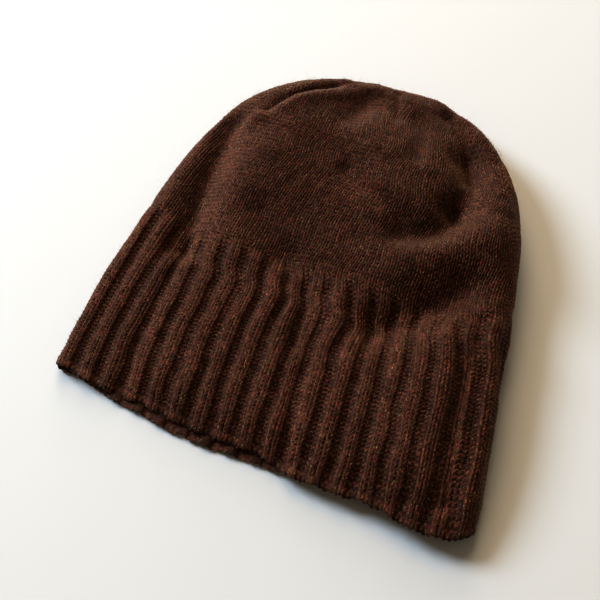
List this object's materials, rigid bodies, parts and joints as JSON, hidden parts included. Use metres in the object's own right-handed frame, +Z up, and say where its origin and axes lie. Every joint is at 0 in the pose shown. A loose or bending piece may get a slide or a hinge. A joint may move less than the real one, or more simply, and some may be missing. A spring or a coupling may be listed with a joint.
{
  "type": "knit cap",
  "caption": "Ribbed wool cap lying flat: one hollow knitted wall, open at a ribbed hem, plain above and gathered to a point at the crown.",
  "frame": {"origin": "middle of the lying cap's footprint, on the surface that it lies on", "axes": "+X across the open hem, from the thin fold to the fuller one; +Y from the hem to the gathered crown; +Z up from the surface"},
  "size_m": [0.224, 0.2391, 0.0312],
  "materials": {
    "wool_knit": "matte knitted lambswool, dark brown heather"
  },
  "bodies": {
    "root": {"knit_cap": "wool_knit"}
  },
  "joints": []
}
